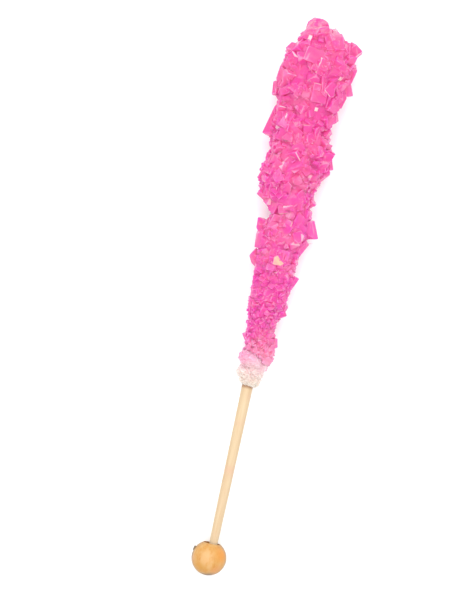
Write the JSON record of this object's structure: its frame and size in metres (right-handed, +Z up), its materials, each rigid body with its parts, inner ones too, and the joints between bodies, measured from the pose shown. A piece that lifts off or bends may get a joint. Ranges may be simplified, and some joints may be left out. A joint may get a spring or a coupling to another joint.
{
  "type": "rock candy stick",
  "caption": "Rock candy on a wooden stick: coarse pink sugar crystals grown thick towards the tip, a pale collar of fine sugar at their foot, and a round wooden ball as the grip.",
  "frame": {"origin": "middle of the underside of the box round the whole, on the table that the stick lies on", "axes": "+Y along the stick from the wooden ball towards the tip of the candy, +X across it to the shown side's right, +Z up out of the table towards the shown side"},
  "size_m": [0.0258, 0.1774, 0.0227],
  "materials": {
    "crystal_candy": "hot pink, translucent, glossy crystal faces",
    "sugar_collar": "cream to pale pink, fine sparkling sugar grains",
    "wood_stick": "pale cream wood, unvarnished, fine straight grain",
    "wood_ball": "golden tan turned wood, satin, soft grain patches"
  },
  "bodies": {
    "root": {"crystal_candy": "crystal_candy", "sugar_collar": "sugar_collar", "wood_stick": "wood_stick", "wood_ball": "wood_ball"}
  },
  "joints": []
}
